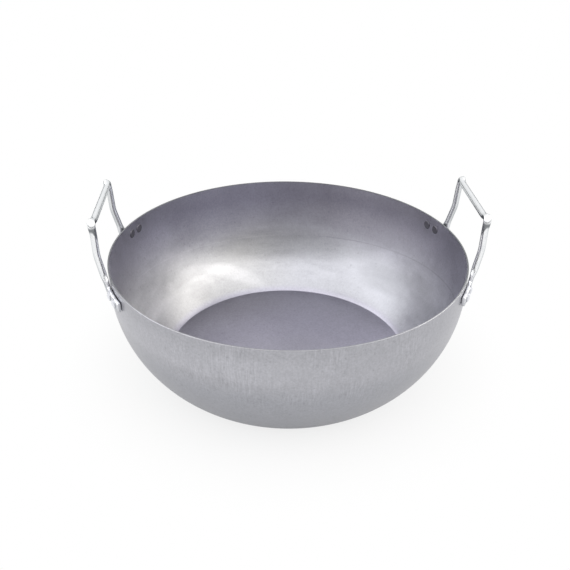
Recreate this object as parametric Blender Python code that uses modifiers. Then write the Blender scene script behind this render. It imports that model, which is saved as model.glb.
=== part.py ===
# Deep fry pot: a pressed steel bowl with two bent rod handles, each held by four rivets.
# Units are metres, +Z is up, the base stands on z = 0 and the handles are on +X and -X.

import math

import bmesh
import bpy
from mathutils import Vector

# Pressed bowl
RIM_RADIUS = 0.180
BASE_RADIUS = 0.1286  # where the curved wall would meet the base with no fold rounding
POT_HEIGHT = 0.1257
COLLAR_HEIGHT = 0.0182  # upright band under the rim, which the handles are riveted to
SHEET = 0.0016
FOLD_RADIUS = 0.0015  # inside of the fold round the floor
RIM_EASE = 0.0004  # edges of the cut rim are filed off by this much

# Handle rod and its bends, for one half of a handle
ROD_DIAMETER = 0.0065
GRIP_RISE = 0.0533  # grip centreline above the rim
GRIP_OVERHANG = 0.0029  # grip centreline outside the rim
GRIP_HALF_SPAN = 0.0496  # half the grip, between the corners' sharp points
KNEE_RISE = 0.0230  # where each leg turns in towards the wall, above the rim
KNEE_OVERHANG = 0.0015
KNEE_HALF_SPAN = 0.0520
CORNER_RADIUS = 0.0045
KNEE_RADIUS = 0.0400

# Knuckles: each tight corner stands a little proud of the grip and is squeezed wider across the bend
KNUCKLE_RISE = 0.0020
KNUCKLE_OVERHANG = 0.0008
KNUCKLE_SPREAD = 0.0010  # added across the bend; the section keeps its area
KNUCKLE_LENGTH = 0.0100  # from the corner to where the rod is plain again

# Feet, where the rod is pressed flat and follows the wall
FOOT_THICKNESS = 0.0036
FOOT_EDGE_RADIUS = 0.0016
FOOT_DROP = 0.0121  # foot and rivet centreline below the rim
FOOT_BEND_SETBACK = 0.0055  # the leg's sharp point lies this far before the foot's own arc
FOOT_LEAD_LENGTH = 0.0050  # from the start of the foot's arc to the first rivet
FOOT_TAIL_LENGTH = 0.0095  # from the last rivet to the cut end
FOOT_END_EASE = 0.0006
PRESS_LENGTH = 0.0120  # length over which the round rod turns flat

# Rivets
FIRST_RIVET_DISTANCE = 0.0668  # along the wall, from the middle of the handle
RIVET_PITCH = 0.0147
RIVETS_PER_FOOT = 2
SHANK_DIAMETER = 0.0042
HEAD_DIAMETER = 0.0092
INNER_HEAD_HEIGHT = 0.0008
OUTER_HEAD_HEIGHT = 0.0020
HEAD_EDGE_HEIGHT = 0.0005  # upright edge under the domed head
HEAD_CHAMFER = 0.0004
SEAT_GAP = 0.0003  # between any two pieces that rest on each other
HOLE_CLEARANCE = 0.0003  # round a shank, on the radius

# How finely round shapes are divided
BOWL_STEPS = 96
RIVET_STEPS = 16
WALL_ARC_STEPS = 10
FOLD_STEPS = 3
ROD_CORNER_POINTS = 4  # points on each quarter of the rod's section
BEND_STEP = math.radians(12)
KNUCKLE_STEPS = 3
FOOT_STEPS = 9
PRESS_STEPS = 6
DOME_STEPS = 4
MERGE_DISTANCE = 0.00002
CUTTER_MARGIN = 0.0060  # a cutter passes this far beyond what it cuts, on each side

# Sizes that follow from the ones above
INNER_RADIUS = RIM_RADIUS - SHEET
FOOT_HEIGHT_LEVEL = POT_HEIGHT - FOOT_DROP
FOOT_PATH_RADIUS = RIM_RADIUS + SEAT_GAP + FOOT_THICKNESS / 2
FOOT_OUTER_RADIUS = RIM_RADIUS + SEAT_GAP + FOOT_THICKNESS
FIRST_RIVET_ANGLE = FIRST_RIVET_DISTANCE / RIM_RADIUS
RIVET_ANGLE_STEP = RIVET_PITCH / RIM_RADIUS
LAST_RIVET_ANGLE = FIRST_RIVET_ANGLE + (RIVETS_PER_FOOT - 1) * RIVET_ANGLE_STEP
FOOT_START_ANGLE = FIRST_RIVET_ANGLE - FOOT_LEAD_LENGTH / RIM_RADIUS
FOOT_END_ANGLE = LAST_RIVET_ANGLE + FOOT_TAIL_LENGTH / RIM_RADIUS
SMOOTH_ANGLE = math.radians(35)

OBJECT_NAME = "deep_fry_pot"

# Bare iron, bright zinc plate and the darker steel of the rivets: colour, metallic, roughness
STEEL_LOOK = ((0.37, 0.36, 0.40), 1.0, 0.42)
ZINC_LOOK = ((0.78, 0.80, 0.83), 1.0, 0.22)
RIVET_LOOK = ((0.62, 0.64, 0.67), 1.0, 0.34)


def clear_scene():
    for item in list(bpy.data.objects):
        bpy.data.objects.remove(item, do_unlink=True)


def make_collection(name):
    collection = bpy.data.collections.new(name)
    bpy.context.scene.collection.children.link(collection)
    return collection


def make_material(name, look):
    colour, metallic, roughness = look
    material = bpy.data.materials.new(name)
    material.use_nodes = True
    shader = material.node_tree.nodes["Principled BSDF"]
    shader.inputs["Base Color"].default_value = (*colour, 1.0)
    shader.inputs["Metallic"].default_value = metallic
    shader.inputs["Roughness"].default_value = roughness
    return material


def add_object(name, mesh, collection, parent=None):
    item = bpy.data.objects.new(name, mesh)
    collection.objects.link(item)
    item.parent = parent
    return item


def arc_points(centre, radius, start, end, steps):
    """Points in the XZ plane on an arc, both ends included; angles are measured from +X towards +Z."""
    turn = (end - start) / steps
    return [
        (centre[0] + radius * math.cos(start + turn * i), centre[1] + radius * math.sin(start + turn * i))
        for i in range(steps + 1)
    ]


def turned_outline(name, profile, material):
    """Half the section of a turned body, from axis to axis, for the turn about Z that closes it."""
    mesh = bpy.data.meshes.new(name)
    edges = [(i, i + 1) for i in range(len(profile) - 1)]
    mesh.from_pydata([(x, 0.0, z) for x, z in profile], edges, [])
    mesh.materials.append(material)
    return mesh


def add_screw(item, steps):
    screw = item.modifiers.new("turn", "SCREW")
    screw.axis = "Z"
    screw.steps = steps
    screw.render_steps = steps
    screw.use_merge_vertices = True
    screw.merge_threshold = MERGE_DISTANCE
    screw.use_smooth_shade = True


def wall_arc_radius():
    """Radius of the outer wall's arc, upright at the collar and passing through the base's edge."""
    reach = RIM_RADIUS - BASE_RADIUS
    rise = POT_HEIGHT - COLLAR_HEIGHT
    return (reach * reach + rise * rise) / (2 * reach)


def bowl_side(inset):
    """One face of the sheet from the floor's edge up to the collar, moved inwards from the outer face."""
    radius = wall_arc_radius()
    centre = (RIM_RADIUS - radius, POT_HEIGHT - COLLAR_HEIGHT)
    outer_fold = FOLD_RADIUS + SHEET
    fold_drop = centre[1] - outer_fold
    fold_reach = math.sqrt((radius - outer_fold) ** 2 - fold_drop**2)
    fold_centre = (centre[0] + fold_reach, outer_fold)
    fold_angle = -math.atan2(fold_drop, fold_reach)
    fold = arc_points(fold_centre, outer_fold - inset, -math.pi / 2, fold_angle, FOLD_STEPS)
    wall = arc_points(centre, radius - inset, fold_angle, 0.0, WALL_ARC_STEPS)
    return fold + wall[1:]


def bowl_profile():
    """The sheet's outline from the middle of the floor, over the rim and back under the base."""
    inner = bowl_side(SHEET)
    outer = bowl_side(0.0)
    rim = [
        (INNER_RADIUS, POT_HEIGHT - RIM_EASE),
        (INNER_RADIUS + RIM_EASE, POT_HEIGHT),
        (RIM_RADIUS - RIM_EASE, POT_HEIGHT),
        (RIM_RADIUS, POT_HEIGHT - RIM_EASE),
    ]
    return [(0.0, SHEET)] + inner + rim + outer[::-1] + [(0.0, 0.0)]


def make_bowl(collection, parent, material):
    mesh = turned_outline("pot_body", bowl_profile(), material)
    bowl = add_object("pot_body", mesh, collection, parent)
    add_screw(bowl, BOWL_STEPS)
    return bowl


def wall_point(radius, angle, height):
    return Vector((radius * math.cos(angle), radius * math.sin(angle), height))


def bend(before, corner, after, radius):
    """Points and directions round a bend between two straight runs that meet at a corner."""
    run_in = (corner - before).normalized()
    run_out = (after - corner).normalized()
    turn = run_in.angle(run_out)
    setback = radius * math.tan(turn / 2)
    start = corner - run_in * setback
    inward = (run_out - run_in * run_out.dot(run_in)).normalized()
    centre = start + inward * radius
    steps = max(2, math.ceil(turn / BEND_STEP))
    stations = []
    for i in range(steps + 1):
        angle = turn * i / steps
        point = centre + (run_in * math.sin(angle) - inward * math.cos(angle)) * radius
        heading = run_in * math.cos(angle) + inward * math.sin(angle)
        stations.append((point, heading))
    return stations


def straight(start, end, steps):
    """Points strictly between two others, with the direction from one to the other."""
    heading = (end - start).normalized()
    return [(start.lerp(end, i / steps), heading) for i in range(1, steps)]


def handle_path():
    """Centreline of half a handle from the middle of the grip, as a round and a flat run, and its knuckle."""
    middle = Vector((RIM_RADIUS + GRIP_OVERHANG, 0.0, POT_HEIGHT + GRIP_RISE))
    corner = middle + Vector((0.0, GRIP_HALF_SPAN, 0.0))
    knee = Vector((RIM_RADIUS + KNEE_OVERHANG, KNEE_HALF_SPAN, POT_HEIGHT + KNEE_RISE))
    foot_start = wall_point(FOOT_PATH_RADIUS, FOOT_START_ANGLE, FOOT_HEIGHT_LEVEL)
    foot_heading = Vector((-math.sin(FOOT_START_ANGLE), math.cos(FOOT_START_ANGLE), 0.0))
    ankle = foot_start - foot_heading * FOOT_BEND_SETBACK
    ankle_turn = (ankle - knee).angle(foot_heading)
    ankle_radius = FOOT_BEND_SETBACK / math.tan(ankle_turn / 2)

    corner_bend = bend(middle, corner, knee, CORNER_RADIUS)
    knee_bend = bend(corner, knee, ankle, KNEE_RADIUS)
    ankle_bend = bend(knee, ankle, foot_start, ankle_radius)
    grip_end, grip_heading = corner_bend[0]
    leg_start, leg_heading = corner_bend[-1]
    plain_grip = grip_end - grip_heading * KNUCKLE_LENGTH
    plain_leg = leg_start + leg_heading * KNUCKLE_LENGTH
    grip = [(middle, grip_heading), (plain_grip, grip_heading)]
    grip += straight(plain_grip, grip_end, KNUCKLE_STEPS)
    leg = straight(leg_start, plain_leg, KNUCKLE_STEPS) + [(plain_leg, leg_heading)]
    shin = straight(knee_bend[-1][0], ankle_bend[0][0], PRESS_STEPS)
    foot = []
    for i in range(1, FOOT_STEPS + 1):
        angle = FOOT_START_ANGLE + (FOOT_END_ANGLE - FOOT_START_ANGLE) * i / FOOT_STEPS
        heading = Vector((-math.sin(angle), math.cos(angle), 0.0))
        foot.append((wall_point(FOOT_PATH_RADIUS, angle, FOOT_HEIGHT_LEVEL), heading))
    knuckle = corner_bend[len(corner_bend) // 2][0]
    return grip + corner_bend + leg + knee_bend + shin, ankle_bend + foot, knuckle


def carried_normals(path, last_normal):
    """A normal at each station, carried back without twist from the one at the path's end."""
    normals = [last_normal]
    for i in range(len(path) - 1, 0, -1):
        turn = path[i][1].rotation_difference(path[i - 1][1])
        normals.append(turn @ normals[-1])
    return normals[::-1]


def rod_section(thickness, width, edge):
    """A rounded oblong about the origin; it is a circle where all three sizes are the rod's."""
    points = []
    quarter = math.pi / 2
    for corner, (side_x, side_y) in enumerate(((1, 1), (-1, 1), (-1, -1), (1, -1))):
        centre_x = side_x * (thickness / 2 - edge)
        centre_y = side_y * (width / 2 - edge)
        for i in range(ROD_CORNER_POINTS):
            angle = quarter * (corner + (i + 0.5) / ROD_CORNER_POINTS)
            points.append((centre_x + edge * math.cos(angle), centre_y + edge * math.sin(angle)))
    return points


def flat_width():
    """Height of a foot: pressing keeps the rod's section area."""
    rod_area = math.pi * (ROD_DIAMETER / 2) ** 2
    lost_corners = (4 - math.pi) * FOOT_EDGE_RADIUS**2
    return (rod_area + lost_corners) / FOOT_THICKNESS


def eased(share):
    """A share from 0 to 1 with a soft start and end."""
    share = max(0.0, share)
    return share * share * (3 - 2 * share)


def pressed_shares(round_run, flat_run):
    """How far each station is pressed flat, from 0 for the round rod to 1 for the foot."""
    shares = [1.0] * len(flat_run)
    distance = 0.0
    following = flat_run[0][0]
    for point, _ in reversed(round_run):
        distance += (following - point).length
        following = point
        shares.append(eased(1 - distance / PRESS_LENGTH))
    return shares[::-1]


def blend(share, round_value, flat_value):
    return round_value + (flat_value - round_value) * share


def handle_mesh(material):
    """Half a handle, open at the plane y = 0: a loft from the round rod to the flat foot."""
    round_run, flat_run, knuckle = handle_path()
    path = round_run + flat_run
    outward = Vector((math.cos(FOOT_END_ANGLE), math.sin(FOOT_END_ANGLE), 0.0))
    normals = carried_normals(path, outward)
    shares = pressed_shares(round_run, flat_run)
    knuckle_shift = Vector((KNUCKLE_OVERHANG, 0.0, KNUCKLE_RISE))
    shape = bmesh.new()
    rings = []
    for (point, heading), normal, share in zip(path, normals, shares):
        raised = eased(1 - (point - knuckle).length / KNUCKLE_LENGTH)
        rod_thickness = ROD_DIAMETER + KNUCKLE_SPREAD * raised
        rod_width = ROD_DIAMETER**2 / rod_thickness
        section = rod_section(
            blend(share, rod_thickness, FOOT_THICKNESS),
            blend(share, rod_width, flat_width()),
            blend(share, rod_width / 2, FOOT_EDGE_RADIUS),
        )
        point = point + knuckle_shift * raised
        across = heading.cross(normal)
        rings.append([shape.verts.new(point + normal * x + across * y) for x, y in section])

    # The cut end is eased: its last ring is drawn in and stands a little beyond the foot
    end_point, end_heading = path[-1]
    end_normal = normals[-1]
    end_across = end_heading.cross(end_normal)
    end_point = end_point + end_heading * FOOT_END_EASE
    end_section = rod_section(
        FOOT_THICKNESS - 2 * FOOT_END_EASE, flat_width() - 2 * FOOT_END_EASE, FOOT_EDGE_RADIUS - FOOT_END_EASE
    )
    rings.append([shape.verts.new(end_point + end_normal * x + end_across * y) for x, y in end_section])

    count = len(rings[0])
    for ring, following in zip(rings, rings[1:]):
        for i in range(count):
            j = (i + 1) % count
            shape.faces.new((ring[i], ring[j], following[j], following[i]))
    shape.faces.new(rings[-1])
    for vert in rings[0]:
        vert.co.y = 0.0
    bmesh.ops.recalc_face_normals(shape, faces=shape.faces)
    mesh = bpy.data.meshes.new("handle")
    shape.to_mesh(mesh)
    shape.free()
    mesh.shade_smooth()
    mesh.set_sharp_from_angle(angle=SMOOTH_ANGLE)
    mesh.materials.append(material)
    return mesh


def make_handle(name, side_angle, mesh, collection, parent):
    handle = add_object(name, mesh, collection, parent)
    handle.rotation_euler.z = side_angle
    mirror = handle.modifiers.new("other_half", "MIRROR")
    mirror.use_axis = (False, True, False)
    mirror.merge_threshold = MERGE_DISTANCE
    return handle


def inner_seat_radius():
    """Where the flat inner head lies, clear of the hollow wall behind its rim."""
    facet_radius = INNER_RADIUS * math.cos(math.pi / BOWL_STEPS)
    return math.sqrt(facet_radius**2 - (HEAD_DIAMETER / 2) ** 2) - SEAT_GAP


def rivet_profile():
    """Outline from the crown of the outer head to the middle of the inner one; z = 0 is the foot's outer face."""
    head_radius = HEAD_DIAMETER / 2
    shank_radius = SHANK_DIAMETER / 2
    under_outer = SEAT_GAP
    under_inner = inner_seat_radius() - FOOT_OUTER_RADIUS
    dome_rise = OUTER_HEAD_HEIGHT - HEAD_EDGE_HEIGHT
    dome_radius = (head_radius**2 + dome_rise**2) / (2 * dome_rise)
    dome_centre = (0.0, under_outer + OUTER_HEAD_HEIGHT - dome_radius)
    dome_edge = math.acos(head_radius / dome_radius)
    dome = arc_points(dome_centre, dome_radius, math.pi / 2, dome_edge, DOME_STEPS)
    body = [
        (head_radius, under_outer),
        (shank_radius, under_outer),
        (shank_radius, under_inner),
        (head_radius, under_inner),
        (head_radius, under_inner - INNER_HEAD_HEIGHT + HEAD_CHAMFER),
        (head_radius - HEAD_CHAMFER, under_inner - INNER_HEAD_HEIGHT),
        (0.0, under_inner - INNER_HEAD_HEIGHT),
    ]
    return dome + body


def place_on_wall(item, angle):
    """Turns a piece's +Z to point straight out of the wall, with its origin on the foot's outer face."""
    item.location = wall_point(FOOT_OUTER_RADIUS, angle, FOOT_HEIGHT_LEVEL)
    item.rotation_euler = (0.0, math.pi / 2, angle)


def cut(item, cutter):
    boolean = item.modifiers.new("hole", "BOOLEAN")
    boolean.operation = "DIFFERENCE"
    boolean.solver = "EXACT"
    boolean.object = cutter


def make_hole_cutter(name, collection, parent, angle):
    depth = SHEET + 2 * SEAT_GAP + FOOT_THICKNESS + 2 * CUTTER_MARGIN
    bpy.ops.mesh.primitive_cylinder_add(
        vertices=RIVET_STEPS, radius=SHANK_DIAMETER / 2 + HOLE_CLEARANCE, depth=depth
    )
    cutter = bpy.context.active_object
    cutter.name = name
    cutter.data.name = name
    for owner in list(cutter.users_collection):
        owner.objects.unlink(cutter)
    collection.objects.link(cutter)
    cutter.parent = parent
    cutter.hide_render = True
    cutter.display_type = "WIRE"
    place_on_wall(cutter, angle)
    return cutter


def rivet_places():
    """Name ending and place round the pot of each rivet, listed under the handle that it holds."""
    places = {"right": [], "left": []}
    for number in range(RIVETS_PER_FOOT):
        angle = FIRST_RIVET_ANGLE + number * RIVET_ANGLE_STEP
        ending = str(number + 1)
        places["right"].append(("front_" + ending, -angle))
        places["right"].append(("rear_" + ending, angle))
        places["left"].append(("front_" + ending, math.pi + angle))
        places["left"].append(("rear_" + ending, math.pi - angle))
    return places


def main():
    clear_scene()
    pieces = make_collection(OBJECT_NAME)
    cutters = make_collection("cutters")
    root = add_object("pot_centre", None, pieces)

    steel = make_material("raw_steel", STEEL_LOOK)
    zinc = make_material("zinc_plate", ZINC_LOOK)
    rivet_steel = make_material("rivet_steel", RIVET_LOOK)

    bowl = make_bowl(pieces, root, steel)
    shared_handle = handle_mesh(zinc)
    shared_rivet = turned_outline("rivet", rivet_profile(), rivet_steel)
    places = rivet_places()
    for side, side_angle in (("right", 0.0), ("left", math.pi)):
        handle = make_handle("handle_" + side, side_angle, shared_handle, pieces, root)
        for ending, angle in places[side]:
            cutter = make_hole_cutter("hole_" + side + "_" + ending, cutters, root, angle)
            cut(bowl, cutter)
            cut(handle, cutter)
            rivet = add_object("rivet_" + side + "_" + ending, shared_rivet, pieces, root)
            add_screw(rivet, RIVET_STEPS)
            place_on_wall(rivet, angle)


main()
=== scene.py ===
import math

import bpy
from mathutils import Matrix, Vector


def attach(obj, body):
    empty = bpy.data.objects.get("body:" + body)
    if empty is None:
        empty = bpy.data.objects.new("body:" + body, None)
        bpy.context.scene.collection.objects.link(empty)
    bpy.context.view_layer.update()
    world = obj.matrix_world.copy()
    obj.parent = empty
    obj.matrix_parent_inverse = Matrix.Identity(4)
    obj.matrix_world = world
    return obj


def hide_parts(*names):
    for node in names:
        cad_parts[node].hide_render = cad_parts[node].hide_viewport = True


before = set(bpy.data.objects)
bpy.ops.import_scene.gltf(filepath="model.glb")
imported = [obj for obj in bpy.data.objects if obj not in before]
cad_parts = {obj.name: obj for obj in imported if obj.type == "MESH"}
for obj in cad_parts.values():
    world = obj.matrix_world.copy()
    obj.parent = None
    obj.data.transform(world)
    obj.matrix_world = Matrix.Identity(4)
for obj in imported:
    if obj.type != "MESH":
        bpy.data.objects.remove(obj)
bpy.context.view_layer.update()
body = "root"
print("frame loaded:", len(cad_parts), "solids")

scene = bpy.context.scene
scene.view_settings.view_transform = "Standard"


# Nodes: sums on outputs are written as plain Python, any other node goes through put()

class Wire:  # one output of a node
    def __init__(self, board, socket):
        self.board = board
        self.socket = socket

    def maths(self, operation, *values):
        return self.board.put("ShaderNodeMath", {"operation": operation}, dict(enumerate(values)))[0]

    def __add__(self, other):
        return self.maths("ADD", self, other)

    def __radd__(self, other):
        return self.maths("ADD", other, self)

    def __sub__(self, other):
        return self.maths("SUBTRACT", self, other)

    def __rsub__(self, other):
        return self.maths("SUBTRACT", other, self)

    def __mul__(self, other):
        return self.maths("MULTIPLY", self, other)

    def __rmul__(self, other):
        return self.maths("MULTIPLY", other, self)

    def __truediv__(self, other):
        return self.maths("DIVIDE", self, other)

    def __rtruediv__(self, other):
        return self.maths("DIVIDE", other, self)

    def __pow__(self, other):
        return self.maths("POWER", self, other)

    def __lt__(self, other):
        return self.maths("LESS_THAN", self, other)

    def __gt__(self, other):
        return self.maths("GREATER_THAN", self, other)


class Placed:  # a node on a board; its outputs are read by number or name
    def __init__(self, board, node):
        self.board = board
        self.node = node

    def __getitem__(self, key):
        return Wire(self.board, self.node.outputs[key])


class Board:  # a node tree, with one way to add a node to it
    def __init__(self, tree):
        self.tree = tree

    def put(self, kind, settings=None, sockets=None):
        node = self.tree.nodes.new(kind)
        for name, value in (settings or {}).items():
            setattr(node, name, value)
        for name, value in (sockets or {}).items():
            if isinstance(value, Wire):
                self.tree.links.new(value.socket, node.inputs[name])
            else:
                node.inputs[name].default_value = value
        return Placed(self, node)

    def sine(self, angle):
        return angle.maths("SINE", angle)

    def cosine(self, angle):
        return angle.maths("COSINE", angle)

    def whole(self, value):
        return value.maths("ROUND", value)

    def sign(self, value):
        return value.maths("SIGN", value)

    def unsigned(self, value):
        return value.maths("ABSOLUTE", value)

    def larger(self, a, b):
        return a.maths("MAXIMUM", a, b)

    def smaller(self, a, b):
        return a.maths("MINIMUM", a, b)

    def step(self, value, start, full):  # 0 before start, 1 past full, smooth between; either may be the larger
        sockets = {"Value": value, "From Min": start, "From Max": full}
        return self.put("ShaderNodeMapRange", {"interpolation_type": "SMOOTHSTEP"}, sockets)[0]

    def dome(self, *offsets):  # 1 where every offset is 0, falling smoothly to 0 at a distance of 1
        left = 1
        for offset in offsets:
            left = left - offset * offset
        return self.step(left, 0.0, 1.0)

    def regions(self, places, table):  # a sum of gains, each held inside its own ranges
        total = 0
        for gain, *ranges in table:
            held = gain
            for name, start, full in ranges:
                held = held * self.step(places[name], start, full)
            total = total + held
        return total

    def split(self, vector):  # outputs 0, 1 and 2 are its x, y and z
        return self.put("ShaderNodeSeparateXYZ", {}, {0: vector})

    def vector(self, x, y, z):
        return self.put("ShaderNodeCombineXYZ", {}, {0: x, 1: y, 2: z})[0]

    def scaled(self, vector, factor):
        return self.put("ShaderNodeVectorMath", {"operation": "SCALE"}, {0: vector, "Scale": factor})[0]

    def summed(self, a, b):
        return self.put("ShaderNodeVectorMath", {"operation": "ADD"}, {0: a, 1: b})[0]

    def noise(self, vector, settings):  # one cell of the noise is one unit of the vector
        sockets = {"Vector": vector, "Scale": 1.0, "Detail": settings["detail"], "Roughness": settings["rough"]}
        return self.put("ShaderNodeTexNoise", {"noise_dimensions": "3D"}, sockets)[0]

    def specks(self, place, settings):  # even noise, its cells of the size given
        return self.noise(self.scaled(place, 1 / settings["size"]), settings)

    def mixColour(self, share, a, b, blend="MIX"):
        settings = {"data_type": "RGBA", "blend_type": blend, "clamp_result": False}
        return self.put("ShaderNodeMix", settings, {0: share, 6: a, 7: b})[2]

    def toned(self, colour, tone):  # a colour times a number
        return self.mixColour(1.0, colour, self.vector(tone, tone, tone), "MULTIPLY")


def newTree(name, inputs):  # a geometry tree with named inputs and one geometry output
    tree = bpy.data.node_groups.new(name, "GeometryNodeTree")
    tree.interface.new_socket(name="Geometry", in_out="OUTPUT", socket_type="NodeSocketGeometry")
    tree.interface.new_socket(name="Geometry", in_out="INPUT", socket_type="NodeSocketGeometry")
    for label, kind in inputs:
        tree.interface.new_socket(name=label, in_out="INPUT", socket_type="NodeSocket" + kind)
    board = Board(tree)
    return board, board.put("NodeGroupInput")


def endTree(board, geometry, finish):  # realised, with its finish set, as the export needs it
    solid = board.put("GeometryNodeRealizeInstances", {}, {0: geometry})[0]
    done = board.put("GeometryNodeSetMaterial", {}, {"Geometry": solid, "Material": finish})[0]
    board.put("NodeGroupOutput", {}, {0: done})


def grow(carrier, tree, values):  # runs a geometry tree on an object and keeps the result as a plain mesh
    modifier = carrier.modifiers.new("made", "NODES")
    modifier.node_group = tree
    for item in tree.interface.items_tree:
        if item.in_out == "INPUT" and item.name in values:
            modifier[item.identifier] = values[item.name]
    bpy.context.view_layer.update()
    evaluated = carrier.evaluated_get(bpy.context.evaluated_depsgraph_get())
    mesh = bpy.data.meshes.new_from_object(evaluated)
    carrier.modifiers.remove(modifier)
    return mesh


def addPiece(name, mesh):
    piece = bpy.data.objects.new(name, mesh)
    scene.collection.objects.link(piece)
    return piece


def lineObject(name, points, attributes=None):  # a chain of points that a geometry tree reads
    mesh = bpy.data.meshes.new(name)
    mesh.from_pydata([tuple(p) for p in points], [(i, i + 1) for i in range(len(points) - 1)], [])
    for label, values in (attributes or {}).items():
        isVector = len(values) and isinstance(values[0], Vector)
        layer = mesh.attributes.new(label, "FLOAT_VECTOR" if isVector else "FLOAT", "POINT")
        for i, value in enumerate(values):
            if isVector:
                layer.data[i].vector = value
            else:
                layer.data[i].value = value
    return addPiece(name, mesh)


def dropObject(item):
    mesh = item.data
    bpy.data.objects.remove(item)
    bpy.data.meshes.remove(mesh)


def sharpen(mesh, degrees):
    mesh.shade_smooth()
    mesh.set_sharp_from_angle(angle=math.radians(degrees))


def triangleCount(mesh):
    return sum(len(face.vertices) - 2 for face in mesh.polygons)


# Camera, where the photograph was taken from

view = {
    "place": (-0.0409, -0.6870, 0.4817),
    "lens": 48.12,
    "sensor": 36.0,
    "turn": -3.17,
    "tilt": 30.05,
    "roll": 0.667,
    "nearest": 0.02,
    "farthest": 60.0,
}

cameraData = bpy.data.cameras.new("camera")
cameraData.lens = view["lens"]
cameraData.sensor_width = view["sensor"]
cameraData.clip_start = view["nearest"]
cameraData.clip_end = view["farthest"]
camera = bpy.data.objects.new("camera", cameraData)
turned = Matrix.Rotation(math.radians(view["turn"]), 4, "Z")
tilted = Matrix.Rotation(math.radians(90 - view["tilt"]), 4, "X")
rolled = Matrix.Rotation(math.radians(view["roll"]), 4, "Z")
camera.matrix_world = Matrix.Translation(view["place"]) @ turned @ tilted @ rolled
scene.collection.objects.link(camera)
scene.camera = camera
print("camera ready")


# Turned forms: a section in the XZ plane is carried round the Z axis

def turnedTree():
    board, given = newTree("turnedForm", [("Steps Around", "Int"), ("Merge Gap", "Float"), ("Finish", "Material")])
    section = given["Geometry"]
    pointCount = board.put("GeometryNodeAttributeDomainSize", {}, {0: section})["Point Count"]
    sockets = {"Size X": 1.0, "Size Y": 1.0, "Vertices X": given["Steps Around"] + 1, "Vertices Y": pointCount}
    grid = board.put("GeometryNodeMeshGrid", {}, sockets)[0]
    spot = board.split(board.put("GeometryNodeInputPosition")[0])
    row = board.whole((spot[1] + 0.5) * (pointCount - 1))
    angle = (spot[0] + 0.5) * (2 * math.pi)
    place = board.put("GeometryNodeInputPosition")[0]
    sampling = {"data_type": "FLOAT_VECTOR", "domain": "POINT"}
    sampled = board.put("GeometryNodeSampleIndex", sampling, {"Geometry": section, "Value": place, "Index": row})[0]
    part = board.split(sampled)
    moved = board.vector(part[0] * board.cosine(angle), part[0] * board.sine(angle), part[2])
    shaped = board.put("GeometryNodeSetPosition", {}, {"Geometry": grid, "Position": moved})[0]
    closed = board.put("GeometryNodeMergeByDistance", {}, {"Geometry": shaped, "Distance": given["Merge Gap"]})[0]
    smoothed = board.put("GeometryNodeSetShadeSmooth", {}, {0: closed})[0]
    endTree(board, smoothed, given["Finish"])
    return board.tree


def arc(centre, radius, start, end, steps):  # both ends are kept; angles run from +X towards +Z
    turn = (end - start) / steps
    angles = [start + turn * i for i in range(steps + 1)]
    return [(centre[0] + radius * math.cos(a), centre[1] + radius * math.sin(a)) for a in angles]


turnedForm = turnedTree()


# Bowl: pressed from one sheet, with a flat base, a rounded wall and an upright band under the rim

bowl = {
    "rimRadius": 0.180,
    "baseRadius": 0.1286,
    "height": 0.1257,
    "collar": 0.0182,
    "sheet": 0.0016,
    "foldRadius": 0.0015,
    "rimEase": 0.0004,
    "stepsAround": 320,
    "wallSteps": 56,
    "collarSteps": 8,
    "foldSteps": 8,
    "rimSteps": 4,
    "floorRings": (0.030, 0.060, 0.090, 0.115),
    "mergeGap": 0.00001,
    "sharpAngle": 50,
}
wallReach = bowl["rimRadius"] - bowl["baseRadius"]
wallRise = bowl["height"] - bowl["collar"]
wallRadius = (wallReach ** 2 + wallRise ** 2) / (2 * wallReach)
wallCentre = (bowl["rimRadius"] - wallRadius, wallRise)


def bowlSide(inset):  # one face of the sheet, from the floor's edge up to the collar
    outerFold = bowl["foldRadius"] + bowl["sheet"]
    drop = wallCentre[1] - outerFold
    reach = math.sqrt((wallRadius - outerFold) ** 2 - drop ** 2)
    foldCentre = (wallCentre[0] + reach, outerFold)
    foldAngle = -math.atan2(drop, reach)
    fold = arc(foldCentre, outerFold - inset, -math.pi / 2, foldAngle, bowl["foldSteps"])
    wall = arc(wallCentre, wallRadius - inset, foldAngle, 0.0, bowl["wallSteps"])
    return fold + wall[1:]


def bowlSection():
    inner = bowl["rimRadius"] - bowl["sheet"]
    ease = bowl["rimEase"]
    top = bowl["height"]
    low = top - bowl["collar"]
    span = (bowl["collar"] - ease) / bowl["collarSteps"]
    heights = [low + span * i for i in range(1, bowl["collarSteps"])] + [top - 2 * ease]
    innerBand = [(inner, z) for z in heights]
    outerBand = [(bowl["rimRadius"], z) for z in reversed(heights)]
    innerRim = arc((inner + ease, top - ease), ease, math.pi, math.pi / 2, bowl["rimSteps"])
    outerRim = arc((bowl["rimRadius"] - ease, top - ease), ease, math.pi / 2, 0.0, bowl["rimSteps"])
    floorTop = [(r, bowl["sheet"]) for r in (0.0, *bowl["floorRings"])]
    floorUnder = [(r, 0.0) for r in reversed((0.0, *bowl["floorRings"]))]
    path = floorTop + bowlSide(bowl["sheet"]) + innerBand + innerRim + outerRim + outerBand
    return path + bowlSide(0.0)[::-1] + floorUnder


def newFinish(name):
    finish = bpy.data.materials.new(name)
    finish.use_nodes = True
    finish.node_tree.nodes.clear()
    return Board(finish.node_tree), finish


def endFinish(board, shader):
    board.put("ShaderNodeOutputMaterial", {}, {"Surface": shader[0]})


def endMetal(board, colour, rough, height, others=None):  # height is a fine relief in metres
    bump = board.put("ShaderNodeBump", {}, {"Strength": 1.0, "Distance": 1.0, "Height": height})["Normal"]
    sockets = {"Base Color": colour, "Metallic": 1.0, "Roughness": rough, "Normal": bump, **(others or {})}
    endFinish(board, board.put("ShaderNodeBsdfPrincipled", {}, sockets))


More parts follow.
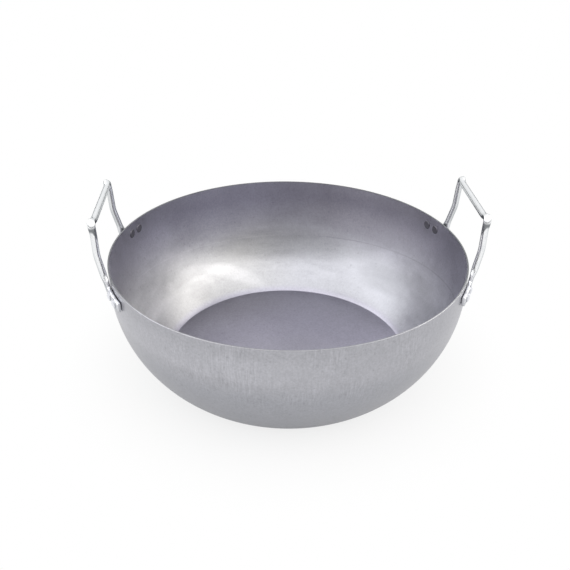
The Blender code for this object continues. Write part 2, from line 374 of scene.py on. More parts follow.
def fromAxis(part):  # how far a point is from the pot's middle line
    return (part[0] * part[0] + part[1] * part[1]) ** 0.5


leastRadius = 0.02  # nothing is divided by a smaller distance from the middle line

# Across runs from -1 on the left to 1 on the right, and sideways is its square; heights and sizes are in metres.
# A pair is a smooth range, from where a thing starts to where it is full; one that falls has its larger number first.
iron = {
    "outsideColour": (0.423, 0.423, 0.453, 1.0),
    # the lower outer wall is darker and bluer: painted shade of the shadowed floor it reflects
    "underColour": (0.374, 0.378, 0.409, 1.0),
    "underTop": (0.064, 0.092),
    "insideColour": (0.379, 0.371, 0.426, 1.0),
    "bandLeft": (0.391, 0.388, 0.396, 1.0),  # painted highlight tint where the bright band of reflected light lies above the floor
    "bandRight": (0.384, 0.386, 0.416, 1.0),
    "bandTurn": (-0.35, 0.25),
    "bandFoot": (0.002, 0.008),
    "bandTop": (0.045, 0.105),
    "edgeColour": (0.17, 0.175, 0.185, 1.0),  # the rim's cut edge, painted dark as a painted reflection of the dark surroundings
    # a painted highlight on the rim's edge at the front, strongest towards the sides
    "edgeWorn": (0.46, 0.46, 0.485, 1.0),
    "edgeDepth": (0.0007, 0.0003),  # below the rim
    "wornFront": (-0.04, -0.13),
    "wornSides": (0.02, 0.25),
    "wornLeast": 0.65,
    "roughness": 0.34,
    "clouds": {"size": 0.030, "detail": 2.0, "rough": 0.5, "tone": 0.10, "dulling": 0.10},
    "mottle": {"size": 0.0075, "detail": 2.0, "rough": 0.55, "tone": 0.13, "dulling": 0.06, "relief": 0.00002},
    "grain": {
        "size": 0.0021, "detail": 2.0, "rough": 0.7, "tone": 0.44, "swept": 0.12, "dulling": 0.06, "relief": 0.000008,
    },
    "pits": {"size": 0.0036, "detail": 1.0, "rough": 0.5, "range": (0.66, 0.74), "tone": 0.10},
    "streaks": {  # short upright marks on the upper wall
        "around": 130, "upward": 80, "detail": 3.0, "rough": 0.7, "tone": 0.66,
        "heights": (0.035, 0.080), "front": (-0.68, -0.90), "least": 0.20, "insideLoss": 0.5,
    },
    "streakPatches": {"size": 0.038, "detail": 1.0, "rough": 0.5, "range": (0.36, 0.62)},
    "sweeps": {  # faint marks that run round the inner wall
        "around": 5, "upward": 150, "detail": 2.0, "rough": 0.5, "tone": 0.30,
        "foot": (0.003, 0.020), "top": (0.095, 0.060), "relief": 0.00003,
    },
    "ring": {  # left by the press on the inner wall, higher at the front; paler on the left and darker on the right
        "height": 0.0700, "fall": 0.0120, "shift": 0.0025, "reach": 0.0010, "broken": (0.25, 0.60),
        "toneLeft": 0.05, "toneRight": -0.16, "turn": (0.10, 0.45), "relief": 0.00003,
    },
    "insideRegions": [  # painted light and shade, as a gain in tone and the ranges that hold it
        # painted light on the sides; up to the rim at the far left and right only
        (0.36, ("sideways", 0.30, 0.75), ("height", 0.035, 0.062)),
        (-0.36, ("sideways", 0.30, 0.75), ("height", 0.035, 0.062), ("height", 0.080, 0.122), ("sideways", 0.95, 0.80)),
        # painted shade half way up the back and the front, a little less on the right
        (-0.20, ("height", 0.026, 0.042), ("height", 0.072, 0.055), ("sideways", 0.30, 0.10)),
        (0.05, ("height", 0.026, 0.042), ("height", 0.072, 0.055), ("sideways", 0.30, 0.10), ("across", 0.00, 0.25)),
        # painted light low on the far left
        (0.28, ("height", 0.012, 0.030), ("height", 0.064, 0.036), ("across", -0.86, -0.94)),
        # painted shade on the upper wall between the back and the sides
        (-0.17, ("height", 0.055, 0.078), ("sideways", 0.02, 0.12), ("sideways", 0.70, 0.45)),
    ],
    "outsideRegions": [
        (0.08, ("height", 0.084, 0.094), ("height", 0.120, 0.108), ("across", 0.40, -0.30)),  # under the rim
        (-0.14, ("height", 0.005, 0.001)),  # the fold at the base, darkened as painted contact shade
    ],
    "spots": [  # soft painted highlights and painted shade on the inner wall, as paler and darker spots
        {"across": -0.38, "height": 0.0220, "tilt": -0.060, "wide": 0.27, "high": 0.011, "gain": 0.23},
        {"across": -0.68, "height": 0.0170, "tilt": 0.0, "wide": 0.11, "high": 0.011, "gain": -0.14},
        {"across": -0.87, "height": 0.0320, "tilt": 0.0, "wide": 0.06, "high": 0.020, "gain": 0.12},
        {"across": 0.74, "height": 0.0310, "tilt": 0.0, "wide": 0.17, "high": 0.016, "gain": -0.17},
        {"across": 0.94, "height": 0.0340, "tilt": 0.0, "wide": 0.05, "high": 0.022, "gain": 0.10},
        {"across": 0.99, "height": 0.0620, "tilt": 0.0, "wide": 0.04, "high": 0.032, "gain": 0.13},
        {"across": -0.99, "height": 0.0450, "tilt": 0.0, "wide": 0.04, "high": 0.036, "gain": 0.10},
    ],
    # painted light: a paler spot on the bowl's floor
    "floorSpot": {"x": -0.060, "y": 0.015, "reach": 0.075, "gain": 0.14},
    "floorLean": 1.7,  # painted light: the bowl's floor gets paler to the right, by this much for each metre
    "floorTop": (0.005, 0.002),
}


def bareIron():
    board, finish = newFinish("bareIron")
    place = board.put("ShaderNodeTexCoord")["Object"]
    part = board.split(place)
    x, y, z = part[0], part[1], part[2]
    radius = fromAxis(part)
    away = board.larger(radius, leastRadius)
    acrossX, acrossY = x / away, y / away
    sideways = acrossX * acrossX

    # between the two faces of the sheet: 1 on the inside of the bowl
    drop = wallCentre[1] - board.smaller(z, wallCentre[1])
    middle = ((wallRadius - bowl["sheet"] / 2) ** 2 - drop * drop) ** 0.5 + wallCentre[0]
    inside = (radius < middle) * (z > bowl["sheet"] / 2)

    def drawnOut(settings):  # noise that is stretched up the wall or round the bowl
        reach = settings["around"]
        return board.noise(board.vector(acrossX * reach, acrossY * reach, z * settings["upward"]), settings)

    clouds = board.specks(place, iron["clouds"])
    mottle = board.specks(place, iron["mottle"])
    grain = board.specks(place, iron["grain"])
    pits = board.step(board.specks(place, iron["pits"]), *iron["pits"]["range"])

    streak = iron["streaks"]
    streaks = drawnOut(streak)
    patches = board.step(board.specks(place, iron["streakPatches"]), *iron["streakPatches"]["range"])
    streakShare = streak["least"] + (1 - streak["least"]) * board.step(acrossY, *streak["front"]) * patches
    streakShare = board.step(z, *streak["heights"]) * streakShare * (1 - streak["insideLoss"] * inside)

    sweep = iron["sweeps"]
    sweeps = drawnOut(sweep)
    sweepShare = inside * board.step(z, *sweep["foot"]) * board.step(z, *sweep["top"])

    ring = iron["ring"]
    ringLevel = ring["height"] - ring["fall"] * acrossY + ring["shift"] * acrossX
    ringShare = inside * board.dome((z - ringLevel) / ring["reach"]) * board.step(sweeps, *ring["broken"])
    ringTone = ring["toneLeft"] + (ring["toneRight"] - ring["toneLeft"]) * board.step(acrossX, *ring["turn"])

    # broad differences of tone: painted light and shade on the inner wall and the bowl's floor; outside, a paler band
    # under the rim and painted shade at the base's fold
    places = {"height": z, "across": acrossX, "sideways": sideways}
    floorSpot = iron["floorSpot"]
    floorX, floorY = (x - floorSpot["x"]) / floorSpot["reach"], (y - floorSpot["y"]) / floorSpot["reach"]
    floorTone = iron["floorLean"] * x + floorSpot["gain"] * board.dome(floorX, floorY)
    insideTone = board.regions(places, iron["insideRegions"]) + board.step(z, *iron["floorTop"]) * floorTone
    for spot in iron["spots"]:
        aside = acrossX - spot["across"]
        over = (z - spot["height"] - aside * spot["tilt"]) / spot["high"]
        insideTone = insideTone + spot["gain"] * board.dome(aside / spot["wide"], over)
    broad = 1.0 + inside * insideTone + (1 - inside) * board.regions(places, iron["outsideRegions"])

    grainTone = iron["grain"]["tone"] - iron["grain"]["swept"] * sweepShare
    shade = broad * (
        1.0 + iron["clouds"]["tone"] * (clouds - 0.5) + iron["mottle"]["tone"] * (mottle - 0.5)
        + grainTone * (grain - 0.5) + streak["tone"] * (streaks - 0.5) * streakShare
        + sweep["tone"] * (sweeps - 0.5) * sweepShare - iron["pits"]["tone"] * pits + ringTone * ringShare
    )
    bandTint = board.mixColour(board.step(acrossX, *iron["bandTurn"]), iron["bandLeft"], iron["bandRight"])
    wallTint = board.mixColour(board.step(z, *iron["bandTop"]), bandTint, iron["insideColour"])
    insideTint = board.mixColour(board.step(z, *iron["bandFoot"]), iron["insideColour"], wallTint)
    outsideTint = board.mixColour(board.step(z, *iron["underTop"]), iron["underColour"], iron["outsideColour"])
    tint = board.mixColour(inside, outsideTint, insideTint)

    # the rim's cut edge is painted darker than the faces, with a painted highlight at the front
    edgeLit = iron["wornLeast"] + (1 - iron["wornLeast"]) * board.step(sideways, *iron["wornSides"])
    edgeLit = board.step(y, *iron["wornFront"]) * edgeLit
    edgeTint = board.mixColour(edgeLit, iron["edgeColour"], iron["edgeWorn"])
    edgeFrom, edgeFull = (bowl["height"] - depth for depth in iron["edgeDepth"])
    tint = board.mixColour(board.step(z, edgeFrom, edgeFull), tint, edgeTint)

    rough = iron["roughness"]
    for noise, name in ((clouds, "clouds"), (mottle, "mottle"), (grain, "grain")):
        rough = rough + iron[name]["dulling"] * (noise - 0.5)
    height = grain * iron["grain"]["relief"] + mottle * iron["mottle"]["relief"]
    height = height + sweeps * sweepShare * sweep["relief"] + ringShare * ring["relief"]
    endMetal(board, board.toned(tint, shade), rough, height)
    return finish


ironFinish = bareIron()
section = lineObject("bowlSection", [(r, 0.0, z) for r, z in bowlSection()])
bowlMesh = grow(section, turnedForm, {
    "Steps Around": bowl["stepsAround"], "Merge Gap": bowl["mergeGap"], "Finish": ironFinish,
})
dropObject(section)
sharpen(bowlMesh, bowl["sharpAngle"])
potBowl = addPiece("potBowl", bowlMesh)
print("bowl:", triangleCount(bowlMesh), "triangles")


# Handles: one rod each, bent to a grip and pressed flat where it lies on the wall

handle = {
    "rod": 0.00642,
    "gripRise": 0.0533,
    "gripOverhang": 0.0029,
    "gripHalfSpan": 0.0496,
    "kneeRise": 0.0230,
    "kneeOverhang": 0.0015,
    "kneeHalfSpan": 0.0520,
    "cornerRadius": 0.0045,
    "kneeRadius": 0.0400,
    "footThickness": 0.0036,
    "footEdge": 0.0016,
    "footDrop": 0.0121,
    "footSetback": 0.0055,
    "footLead": 0.0050,
    "footTail": 0.0095,
    "footEase": 0.0006,
    "pressLength": 0.0120,
    "seatGap": 0.0003,
    "bendStep": 4.0,
    "fewestBendSteps": 4,
    "stationGap": 0.0020,
    "fewestRunSteps": 2,
    "easeSteps": 4,
    "pointsAround": 32,
    "knuckleRise": 0.0020,
    "knuckleOverhang": 0.0008,
    "knuckleSpread": 0.0010,
    "knuckleLength": 0.0100,
    "mergeGap": 0.000002,
    "sharpAngle": 50,
}
rivet = {
    "first": 0.0668,
    "pitch": 0.0147,
    "perFoot": 2,
    "shank": 0.0042,
    "head": 0.0092,
    "outerHeight": 0.0020,
    "innerHeight": 0.0008,
    "edgeHeight": 0.0005,
    "chamfer": 0.0004,
    "stepsAround": 32,
    "domeSteps": 8,
    "bearingGap": 0.00002,
    "sizeSpread": 0.02,
    "seed": 7,
    "mergeGap": 0.000005,
    "sharpAngle": 40,
}
rimRadius = bowl["rimRadius"]
footLevel = bowl["height"] - handle["footDrop"]
footPathRadius = rimRadius + handle["seatGap"] + handle["footThickness"] / 2
footOuterRadius = rimRadius + handle["seatGap"] + handle["footThickness"]
firstAngle = rivet["first"] / rimRadius
pitchAngle = rivet["pitch"] / rimRadius
footStart = firstAngle - handle["footLead"] / rimRadius
footEnd = firstAngle + (rivet["perFoot"] - 1) * pitchAngle + handle["footTail"] / rimRadius


def onWall(radius, angle, height):
    return Vector((radius * math.cos(angle), radius * math.sin(angle), height))


def bend(before, corner, after, radius):  # points and directions round a bend between two straight runs
    runIn = (corner - before).normalized()
    runOut = (after - corner).normalized()
    turn = runIn.angle(runOut)
    start = corner - runIn * radius * math.tan(turn / 2)
    inward = (runOut - runIn * runOut.dot(runIn)).normalized()
    centre = start + inward * radius
    steps = max(handle["fewestBendSteps"], math.ceil(math.degrees(turn) / handle["bendStep"]))
    stations = []
    for i in range(steps + 1):
        a = turn * i / steps
        point = centre + (runIn * math.sin(a) - inward * math.cos(a)) * radius
        stations.append((point, runIn * math.cos(a) + inward * math.sin(a)))
    return stations


def straight(start, end):  # stations strictly between two points
    heading = (end - start).normalized()
    steps = max(handle["fewestRunSteps"], round((end - start).length / handle["stationGap"]))
    return [(start.lerp(end, i / steps), heading) for i in range(1, steps)]


def halfPath():  # from the grip's middle to the foot's end: the round part, the flat part and the knuckle's place
    middle = Vector((rimRadius + handle["gripOverhang"], 0.0, bowl["height"] + handle["gripRise"]))
    corner = middle + Vector((0.0, handle["gripHalfSpan"], 0.0))
    knee = Vector((rimRadius + handle["kneeOverhang"], handle["kneeHalfSpan"], bowl["height"] + handle["kneeRise"]))
    footPoint = onWall(footPathRadius, footStart, footLevel)
    footHeading = Vector((-math.sin(footStart), math.cos(footStart), 0.0))
    ankle = footPoint - footHeading * handle["footSetback"]
    ankleTurn = (ankle - knee).angle(footHeading)
    ankleRadius = handle["footSetback"] / math.tan(ankleTurn / 2)
    cornerBend = bend(middle, corner, knee, handle["cornerRadius"])
    kneeBend = bend(corner, knee, ankle, handle["kneeRadius"])
    ankleBend = bend(knee, ankle, footPoint, ankleRadius)
    grip = [(middle, Vector((0.0, 1.0, 0.0)))] + straight(middle, cornerBend[0][0])
    leg = straight(cornerBend[-1][0], kneeBend[0][0])
    shin = straight(kneeBend[-1][0], ankleBend[0][0])
    foot = []
    steps = round((footEnd - footStart) * rimRadius / handle["stationGap"])
    for i in range(1, steps + 1):
        a = footStart + (footEnd - footStart) * i / steps
        foot.append((onWall(footPathRadius, a, footLevel), Vector((-math.sin(a), math.cos(a), 0.0))))
    return grip + cornerBend + leg + kneeBend + shin, ankleBend + foot, cornerBend[len(cornerBend) // 2][0]


def smooth(share):  # eases a share from 0 to 1
    share = max(0.0, min(1.0, share))
    return share * share * (3 - 2 * share)


def flatBreadth():  # pressing keeps the rod's section area
    rodArea = math.pi * (handle["rod"] / 2) ** 2
    lost = (4 - math.pi) * handle["footEdge"] ** 2
    return (rodArea + lost) / handle["footThickness"]


def handleStations():  # half a handle: place, heading, outward side and the section's three sizes
    roundRun, flatRun, knuckle = halfPath()
    path = roundRun + flatRun
    outward = [Vector((math.cos(footEnd), math.sin(footEnd), 0.0))]
    for i in range(len(path) - 1, 0, -1):
        outward.append(path[i][1].rotation_difference(path[i - 1][1]) @ outward[-1])
    outward.reverse()
    pressed = [1.0] * len(flatRun)
    distance = 0.0
    last = flatRun[0][0]
    for point, _ in reversed(roundRun):
        distance += (last - point).length
        last = point
        pressed.append(smooth(1 - distance / handle["pressLength"]))
    pressed.reverse()
    stations = []
    shift = Vector((handle["knuckleOverhang"], 0.0, handle["knuckleRise"]))
    for (point, heading), side, share in zip(path, outward, pressed):
        raised = smooth(1 - (point - knuckle).length / handle["knuckleLength"])
        thick = handle["rod"] + handle["knuckleSpread"] * raised
        broad = handle["rod"] ** 2 / thick
        sizes = [
            thick + (handle["footThickness"] - thick) * share,
            broad + (flatBreadth() - broad) * share,
            broad / 2 + (handle["footEdge"] - broad / 2) * share,
        ]
        stations.append((point + shift * raised, heading, side, sizes))
    point, heading, side, sizes = stations[-1]
    ease = handle["footEase"]
    for i in range(1, handle["easeSteps"] + 1):  # the cut end is rounded over, then closed
        a = math.pi / 2 * i / handle["easeSteps"]
        inset = ease * (1 - math.cos(a))
        eased = [sizes[0] - 2 * inset, sizes[1] - 2 * inset, sizes[2] - inset]
        stations.append((point + heading * ease * math.sin(a), heading, side, eased))
    stations.append((point + heading * ease, heading, side, [0.0, 0.0, 0.0]))
    return stations


def rodTree():  # carries a rounded oblong section along a chain of stations
    wanted = [("Points Around", "Int"), ("Merge Gap", "Float"), ("Finish", "Material")]
    board, given = newTree("bentRod", wanted)
    chain = given["Geometry"]
    count = board.put("GeometryNodeAttributeDomainSize", {}, {0: chain})["Point Count"]
    sockets = {"Size X": 1.0, "Size Y": 1.0, "Vertices X": count, "Vertices Y": given["Points Around"] + 1}
    grid = board.put("GeometryNodeMeshGrid", {}, sockets)[0]
    spot = board.split(board.put("GeometryNodeInputPosition")[0])
    station = board.whole((spot[0] + 0.5) * (count - 1))
    angle = (spot[1] + 0.5 + 0.5 / given["Points Around"]) * (2 * math.pi)

    def read(label, kind):
        if label:
            value = board.put("GeometryNodeInputNamedAttribute", {"data_type": kind}, {"Name": label})[0]
        else:
            value = board.put("GeometryNodeInputPosition")[0]
        sockets = {"Geometry": chain, "Value": value, "Index": station}
        return board.put("GeometryNodeSampleIndex", {"data_type": kind, "domain": "POINT"}, sockets)[0]

    thick, broad, edge = (read(label, "FLOAT") for label in ("thick", "broad", "edge"))
    cosine, sine = board.cosine(angle), board.sine(angle)
    out = board.sign(cosine) * (thick * 0.5 - edge) + edge * cosine
    over = board.sign(sine) * (broad * 0.5 - edge) + edge * sine
    outPart = board.scaled(read("outward", "FLOAT_VECTOR"), out)
    overPart = board.scaled(read("across", "FLOAT_VECTOR"), over)
    moved = board.summed(read(None, "FLOAT_VECTOR"), board.summed(outPart, overPart))
    shaped = board.put("GeometryNodeSetPosition", {}, {"Geometry": grid, "Position": moved})[0]
    closed = board.put("GeometryNodeMergeByDistance", {}, {"Geometry": shaped, "Distance": given["Merge Gap"]})[0]
    smoothed = board.put("GeometryNodeSetShadeSmooth", {}, {0: closed})[0]
    endTree(board, smoothed, given["Finish"])
    return board.tree


def fromRivet(board, part):  # how far a point on a foot or a rivet is from the nearest rivet's axis
    width, depth = board.unsigned(part[0]), board.unsigned(part[1])
    along = width.maths("ARCTAN2", depth, width) * rimRadius - rivet["first"]
    off = along - rivet["pitch"] * (along > rivet["pitch"] / 2)
    rise = part[2] - footLevel
    return (off * off + rise * rise) ** 0.5


# Facings run from -1 to 1; footTop and wallSideTop are heights above the rim, the other heights are above the floor
zinc = {
    "colour": (0.955, 0.965, 0.975, 1.0),
    "grazing": (0.66, 0.68, 0.69, 1.0),
    "dullColour": (0.82, 0.84, 0.87, 1.0),
    "dullShare": 0.5,
    "dullClouds": (0.50, 0.75),
    "shadedColour": (0.42, 0.44, 0.45, 1.0),
    "shadedShare": 0.8,
    "under": (0.20, -0.30),
    "inward": (0.20, 0.80),
    "inwardShare": 0.5,
    "footColour": (0.80, 0.80, 0.84, 1.0),
    "footShare": 0.8,
    "footTop": (0.004, -0.004),
    # painted shade round each rivet head and in the gap beside the wall
    "seamColour": (0.34, 0.34, 0.37, 1.0),
    "seamShare": 0.45,
    "seamWidth": 0.0009,
    "wallSideShare": 0.6,
    "wallSide": (0.30, 0.62),
    "wallSideTop": (0.0005, -0.003),
    # painted dark reflection under the knuckles and painted shade below the grip's ends
    "patchColour": (0.17, 0.18, 0.19, 1.0),
    "patchShare": 0.9,
    "wedge": {
        "endward": (-0.20, 0.20), "inward": (-0.30, 0.80), "footOutside": 0.1725, "footInside": 0.1650,
        "soft": 0.0015, "top": (0.1780, 0.1750),
    },
    "notch": {"belowInside": (0.0, 0.5), "height": (0.1755, 0.1780), "from": (0.0400, 0.0430), "to": (0.0505, 0.0480)},
    "roughness": 0.20,
    "shadedDulling": 0.10,
    "footDulling": 0.16,
    "cloud": {"size": 0.008, "detail": 2.0, "rough": 0.5, "dulling": 0.08, "relief": 0.000012},
    "grain": {"size": 0.0012, "detail": 2.0, "rough": 0.5, "dulling": 0.05, "relief": 0.0000015},
}


def rimStep(board, z, heights):  # a smooth range of heights above the rim
    start, full = (bowl["height"] + height for height in heights)
    return board.step(z, start, full)


def zincPlate():
    board, finish = newFinish("zincPlate")
    coordinates = board.put("ShaderNodeTexCoord")
    place = coordinates["Object"]
    part = board.split(place)
    facing = board.split(coordinates["Normal"])
    x, y, z = part[0], part[1], part[2]
    cloud = board.specks(place, zinc["cloud"])
    grain = board.specks(place, zinc["grain"])

    # painted shade: the underside and the side to the bowl are darkened, the top and the outside keep the bright colour
    inward = 0 - (facing[0] * x + facing[1] * y) / board.larger(fromAxis(part), leastRadius)
    under = board.step(facing[2], *zinc["under"])
    shaded = board.larger(under, zinc["inwardShare"] * board.step(inward, *zinc["inward"]))

    # the feet are greyer, with painted shade round each rivet head and in the gap along the side to the wall
    foot = rimStep(board, z, zinc["footTop"])
    headEdge = rivet["head"] / 2
    rivetShade = foot * board.step(fromRivet(board, part), headEdge + zinc["seamWidth"], headEdge)
    # painted shade in the gap between the rod and the wall
    wallSide = board.step(inward, *zinc["wallSide"]) * rimStep(board, z, zinc["wallSideTop"])

    # a painted dark reflection: a wedge under each knuckle runs down on the side to the bowl
    shape = zinc["wedge"]
    down = board.step(inward, *shape["inward"])
    wedgeFoot = shape["footOutside"] + (shape["footInside"] - shape["footOutside"]) * down
    wedge = board.step(facing[1] * board.sign(y), *shape["endward"]) * board.step(z, *shape["top"])
    wedge = wedge * board.step(z, wedgeFoot - shape["soft"], wedgeFoot + shape["soft"])

    # painted shade: a dark notch lies below each end of the grip, on the side to the bowl
    shape = zinc["notch"]
    aside = board.unsigned(y)
    notch = board.step(inward - facing[2], *shape["belowInside"]) * board.step(z, *shape["height"])
    notch = notch * board.step(aside, *shape["from"]) * board.step(aside, *shape["to"])

    colour = zinc["colour"]
    for share, name in (
        (board.step(cloud, *zinc["dullClouds"]) * zinc["dullShare"], "dullColour"),
        (foot * zinc["footShare"], "footColour"),
        (shaded * zinc["shadedShare"], "shadedColour"),
        (rivetShade * zinc["seamShare"], "seamColour"),
        (wallSide * zinc["wallSideShare"], "seamColour"),
        (board.larger(wedge, notch) * zinc["patchShare"], "patchColour"),
    ):
        colour = board.mixColour(share, colour, zinc[name])
    rough = zinc["roughness"] + zinc["shadedDulling"] * shaded + zinc["footDulling"] * foot
    rough = rough + zinc["cloud"]["dulling"] * (cloud - 0.5) + zinc["grain"]["dulling"] * (grain - 0.5)
    height = cloud * zinc["cloud"]["relief"] + grain * zinc["grain"]["relief"]
    endMetal(board, colour, rough, height, {"Specular Tint": zinc["grazing"]})
    return finish


zincFinish = zincPlate()
bentRod = rodTree()
half = handleStations()
flip = Matrix.Diagonal((1.0, -1.0, 1.0))
mirrored = [(flip @ p, -(flip @ h), flip @ o, sizes) for p, h, o, sizes in half[:0:-1]]
whole = mirrored + half
chain = lineObject("rodPath", [p for p, _, _, _ in whole], {
    "outward": [o for _, _, o, _ in whole],
    "across": [h.cross(o) for _, h, o, _ in whole],
    "thick": [s[0] for _, _, _, s in whole],
    "broad": [s[1] for _, _, _, s in whole],
    "edge": [s[2] for _, _, _, s in whole],
})
handleMesh = grow(chain, bentRod, {
    "Points Around": handle["pointsAround"], "Merge Gap": handle["mergeGap"], "Finish": zincFinish,
})
dropObject(chain)
sharpen(handleMesh, handle["sharpAngle"])
handleRight = addPiece("handleRight", handleMesh)
leftMesh = handleMesh.copy()
leftMesh.transform(Matrix.Rotation(math.pi, 4, "Z"))
handleLeft = addPiece("handleLeft", leftMesh)
print("handles:", triangleCount(handleMesh), "triangles each")


# Rivets: four to a handle, low bright heads outside and flat dark ones inside

def rivetSection():  # from the outer head's crown to the middle of the inner head; z = 0 is the foot's outer face
    head = rivet["head"] / 2
    shank = rivet["shank"] / 2
    gap = rivet["bearingGap"]
    innerFace = math.sqrt((rimRadius - bowl["sheet"]) ** 2 - head ** 2)
    underInner = innerFace - footOuterRadius + gap
    domeRise = rivet["outerHeight"] - rivet["edgeHeight"]
    domeRadius = (head ** 2 + domeRise ** 2) / (2 * domeRise)
    centre = (0.0, rivet["outerHeight"] - domeRadius)
    dome = arc(centre, domeRadius, math.pi / 2, math.acos(head / domeRadius), rivet["domeSteps"])
    depth = rivet["innerHeight"]
    cut = rivet["chamfer"]
    body = [
        (head, -gap), (shank, -gap), (shank, underInner),
        (head, underInner), (head, underInner - depth + cut), (head - cut, underInner - depth),
        (0.0, underInner - depth),
    ]
    return dome + body


def rivetTree():  # sets the rivet on the wall, a row at each of the two feet of each handle
    wanted = [
        ("Wall Radius", "Float"), ("Level", "Float"), ("First Angle", "Float"), ("Pitch Angle", "Float"),
        ("Per Foot", "Int"), ("Seed", "Int"), ("Finish", "Material"),
    ]
    board, given = newTree("rivetsOnWall", wanted)
    perFoot = given["Per Foot"]
    points = board.put("GeometryNodePoints", {}, {"Count": perFoot * 4})[0]  # four feet in all
    index = board.put("GeometryNodeInputIndex")[0]
    inFoot = index.maths("MODULO", index, perFoot)
    rear = index.maths("MODULO", index.maths("FLOOR", index / perFoot), 2)
    left = index > perFoot * 2 - 0.5
    sideways = given["First Angle"] + given["Pitch Angle"] * inFoot
    angle = sideways * (rear * 2 - 1) + left * math.pi
    place = board.vector(
        given["Wall Radius"] * board.cosine(angle), given["Wall Radius"] * board.sine(angle), given["Level"]
    )
    spread = board.put("GeometryNodeSetPosition", {}, {"Geometry": points, "Position": place})[0]
    facing = board.vector(0.0, math.pi / 2, angle)
    least, most = 1 - rivet["sizeSpread"], 1 + rivet["sizeSpread"]
    sockets = {"Min": (least, least, least), "Max": (most, most, 1.0), "Seed": given["Seed"]}
    size = board.put("FunctionNodeRandomValue", {"data_type": "FLOAT_VECTOR"}, sockets)[0]
    sockets = {"Points": spread, "Instance": given["Geometry"], "Rotation": facing, "Scale": size}
    placed = board.put("GeometryNodeInstanceOnPoints", {}, sockets)[0]
    endTree(board, placed, given["Finish"])
    return board.tree


steel = {
    "outerColour": (0.80, 0.81, 0.85, 1.0),
    "innerColour": (0.172, 0.168, 0.190, 1.0),
    "edgeShade": 0.20,
    "edgeWidth": 0.0009,
    "roughness": 0.38,
    "innerDulling": 0.08,
    "leastTone": 0.85,
    "cloud": {"size": 0.003, "detail": 3.0, "rough": 0.6, "tone": 0.3, "dulling": 0.10, "relief": 0.00003},
}


def rivetSteel():
    board, finish = newFinish("rivetSteel")
    place = board.put("ShaderNodeTexCoord")["Object"]
    part = board.split(place)
    inside = fromAxis(part) < rimRadius - bowl["sheet"] / 2
    cloud = board.specks(place, steel["cloud"])
    headEdge = rivet["head"] / 2
    edge = board.step(fromRivet(board, part), headEdge - steel["edgeWidth"], headEdge)
    shade = (steel["leastTone"] + steel["cloud"]["tone"] * cloud) * (1 - steel["edgeShade"] * edge)
    tint = board.mixColour(inside, steel["outerColour"], steel["innerColour"])
    rough = steel["roughness"] + steel["innerDulling"] * inside + steel["cloud"]["dulling"] * (cloud - 0.5)
    endMetal(board, board.toned(tint, shade), rough, cloud * steel["cloud"]["relief"])
    return finish


rivetFinish = rivetSteel()
section = lineObject("rivetSection", [(r, 0.0, z) for r, z in rivetSection()])
oneRivet = grow(section, turnedForm, {
    "Steps Around": rivet["stepsAround"], "Merge Gap": rivet["mergeGap"], "Finish": rivetFinish,
})
dropObject(section)
carrier = addPiece("rivetCarrier", oneRivet)
rivetMesh = grow(carrier, rivetTree(), {
    "Wall Radius": footOuterRadius, "Level": footLevel, "First Angle": firstAngle, "Pitch Angle": pitchAngle,
    "Per Foot": rivet["perFoot"], "Seed": rivet["seed"], "Finish": rivetFinish,
})
dropObject(carrier)
sharpen(rivetMesh, rivet["sharpAngle"])
rivets = addPiece("rivets", rivetMesh)
print("rivets:", triangleCount(rivetMesh), "triangles")


# Floor, background and lamps

studio = {
    "white": (1.0, 1.0, 1.0, 1.0),
    "whiteLevel": 1.0,
    "worldLight": 0.30,
    "floorColour": (0.80, 0.80, 0.80, 1.0),
    "floorReach": 12.0,
    "nearWhite": 0.80,  # how far the floor is plain white beside the pot; the rest of it takes the shadow
    "nearWhiteReflected": 0.35,
    "farWhite": (0.12, 0.25),  # where it becomes all white
    "target": (0.0, 0.0, 0.08),
    "wattsPerLevel": 4,  # for each square metre of a panel
    "rail": {"radius": 3.0, "low": 0.0, "high": 0.40, "steps": 64, "colour": (0.05, 0.05, 0.05, 1.0)},
    "ceiling": {  # flat panels that look down
        "frontCeiling": {"place": (0.0, -1.30, 1.40), "size": (10.0, 0.40), "level": 1.18},
        "middleCeiling": {"place": (0.0, -0.65, 1.40), "size": (10.0, 0.90), "level": 0.79},
        "centreCeiling": {"place": (0.0, 0.20, 1.40), "size": (1.8, 0.80), "level": 0.45},
        "leftCeiling": {"place": (-2.95, 1.00, 1.40), "size": (4.1, 2.40), "level": 0.61},
    },
    "aimed": {  # panels that look at the pot
        "rightSide": {
            "place": (1.770, 0.392, 0.925), "size": (1.8, 1.30), "level": 1.78, "colour": (1.0, 0.975, 0.92),
        },
        "rightFront": {
            "place": (1.331, -1.021, 1.169), "size": (1.8, 0.58), "level": 0.67, "colour": (1.0, 0.97, 0.88),
        },
        "leftSide": {
            "place": (-1.797, 0.237, 0.925), "size": (1.8, 1.30), "level": 0.78, "colour": (0.97, 0.99, 1.0),
        },
        "leftFront": {
            "place": (-1.237, -1.133, 1.169), "size": (1.8, 0.58), "level": 0.17, "colour": (0.97, 0.99, 1.0),
        },
    },
}


def seenBy(board, path):  # 1 for the camera, for reflections and through glass
    return board.larger(board.larger(path["Is Camera Ray"], path["Is Glossy Ray"]), path["Is Transmission Ray"])


def whiteFloor():
    board, finish = newFinish("whiteFloor")
    part = board.split(board.put("ShaderNodeTexCoord")["Object"])
    path = board.put("ShaderNodeLightPath")
    near = studio["nearWhiteReflected"] + (studio["nearWhite"] - studio["nearWhiteReflected"]) * path["Is Camera Ray"]
    share = near + (1 - near) * board.step(fromAxis(part), *studio["farWhite"])
    lit = board.put("ShaderNodeBsdfDiffuse", {}, {"Color": studio["floorColour"]})[0]
    plain = board.put("ShaderNodeEmission", {}, {"Color": studio["white"], "Strength": studio["whiteLevel"]})[0]
    endFinish(board, board.put("ShaderNodeMixShader", {}, {0: seenBy(board, path) * share, 1: lit, 2: plain}))
    return finish


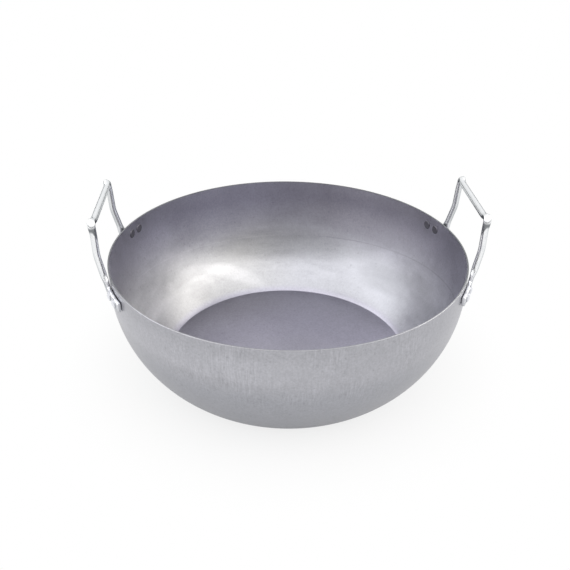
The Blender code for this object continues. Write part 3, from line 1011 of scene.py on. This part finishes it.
def makeFloor():
    reach = studio["floorReach"]
    mesh = bpy.data.meshes.new("floor")
    corners = [(-reach, -reach, 0.0), (reach, -reach, 0.0), (reach, reach, 0.0), (-reach, reach, 0.0)]
    mesh.from_pydata(corners, [], [(0, 1, 2, 3)])
    mesh.materials.append(whiteFloor())
    return addPiece("floor", mesh)


def makeWorld():
    world = bpy.data.worlds.new("studio")
    world.use_nodes = True
    world.node_tree.nodes.clear()
    board = Board(world.node_tree)
    seen = seenBy(board, board.put("ShaderNodeLightPath"))
    level = studio["worldLight"] + (studio["whiteLevel"] - studio["worldLight"]) * seen
    light = board.put("ShaderNodeBackground", {}, {"Color": studio["white"], "Strength": level})[0]
    board.put("ShaderNodeOutputWorld", {}, {"Surface": light})
    world.cycles.sampling_method = "NONE"  # the world is even, so only the rays that reach it read it
    scene.world = world


def makePanel(name, settings, aimed):  # level is what the panel adds in a mirror, where 1 is white
    data = bpy.data.lights.new(name, "AREA")
    data.shape = "RECTANGLE"
    data.size, data.size_y = settings["size"]
    data.energy = settings["level"] * studio["wattsPerLevel"] * data.size * data.size_y
    data.color = settings.get("colour", studio["white"][:3])
    lamp = bpy.data.objects.new(name, data)
    lamp.location = settings["place"]
    if aimed:
        lamp.rotation_euler = (Vector(studio["target"]) - lamp.location).to_track_quat("-Z", "Y").to_euler()
    scene.collection.objects.link(lamp)


def makeRail():  # low, dark and far out; only reflections show it, as a fine line along the rods
    rail = studio["rail"]
    turns = [2 * math.pi * i / rail["steps"] for i in range(rail["steps"])]
    ring = [(rail["radius"] * math.cos(a), rail["radius"] * math.sin(a)) for a in turns]
    points = [(x, y, z) for z in (rail["low"], rail["high"]) for x, y in ring]
    count = len(ring)
    faces = [(i, (i + 1) % count, count + (i + 1) % count, count + i) for i in range(count)]
    mesh = bpy.data.meshes.new("rail")
    mesh.from_pydata(points, [], faces)
    board, finish = newFinish("darkRail")
    endFinish(board, board.put("ShaderNodeBsdfDiffuse", {}, {"Color": rail["colour"]}))
    mesh.materials.append(finish)
    wall = addPiece("rail", mesh)
    wall.visible_camera = wall.visible_diffuse = wall.visible_shadow = wall.visible_transmission = False
    return wall


floor = makeFloor()
makeRail()
makeWorld()
for group in ("ceiling", "aimed"):
    for name, settings in studio[group].items():
        makePanel(name, settings, group == "aimed")
print("studio ready")


# Every piece rides on the one body and stands for its solids

for piece, nodes, slot in (
    (potBowl, ["pot_body"], "raw_steel"),
    (handleRight, ["handle_right"], "zinc_plate"),
    (handleLeft, ["handle_left"], "zinc_plate"),
    (rivets, [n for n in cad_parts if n.startswith("rivet_")], "rivet_steel"),
):
    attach(piece, body)
    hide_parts(*nodes)

print("pieces in place")
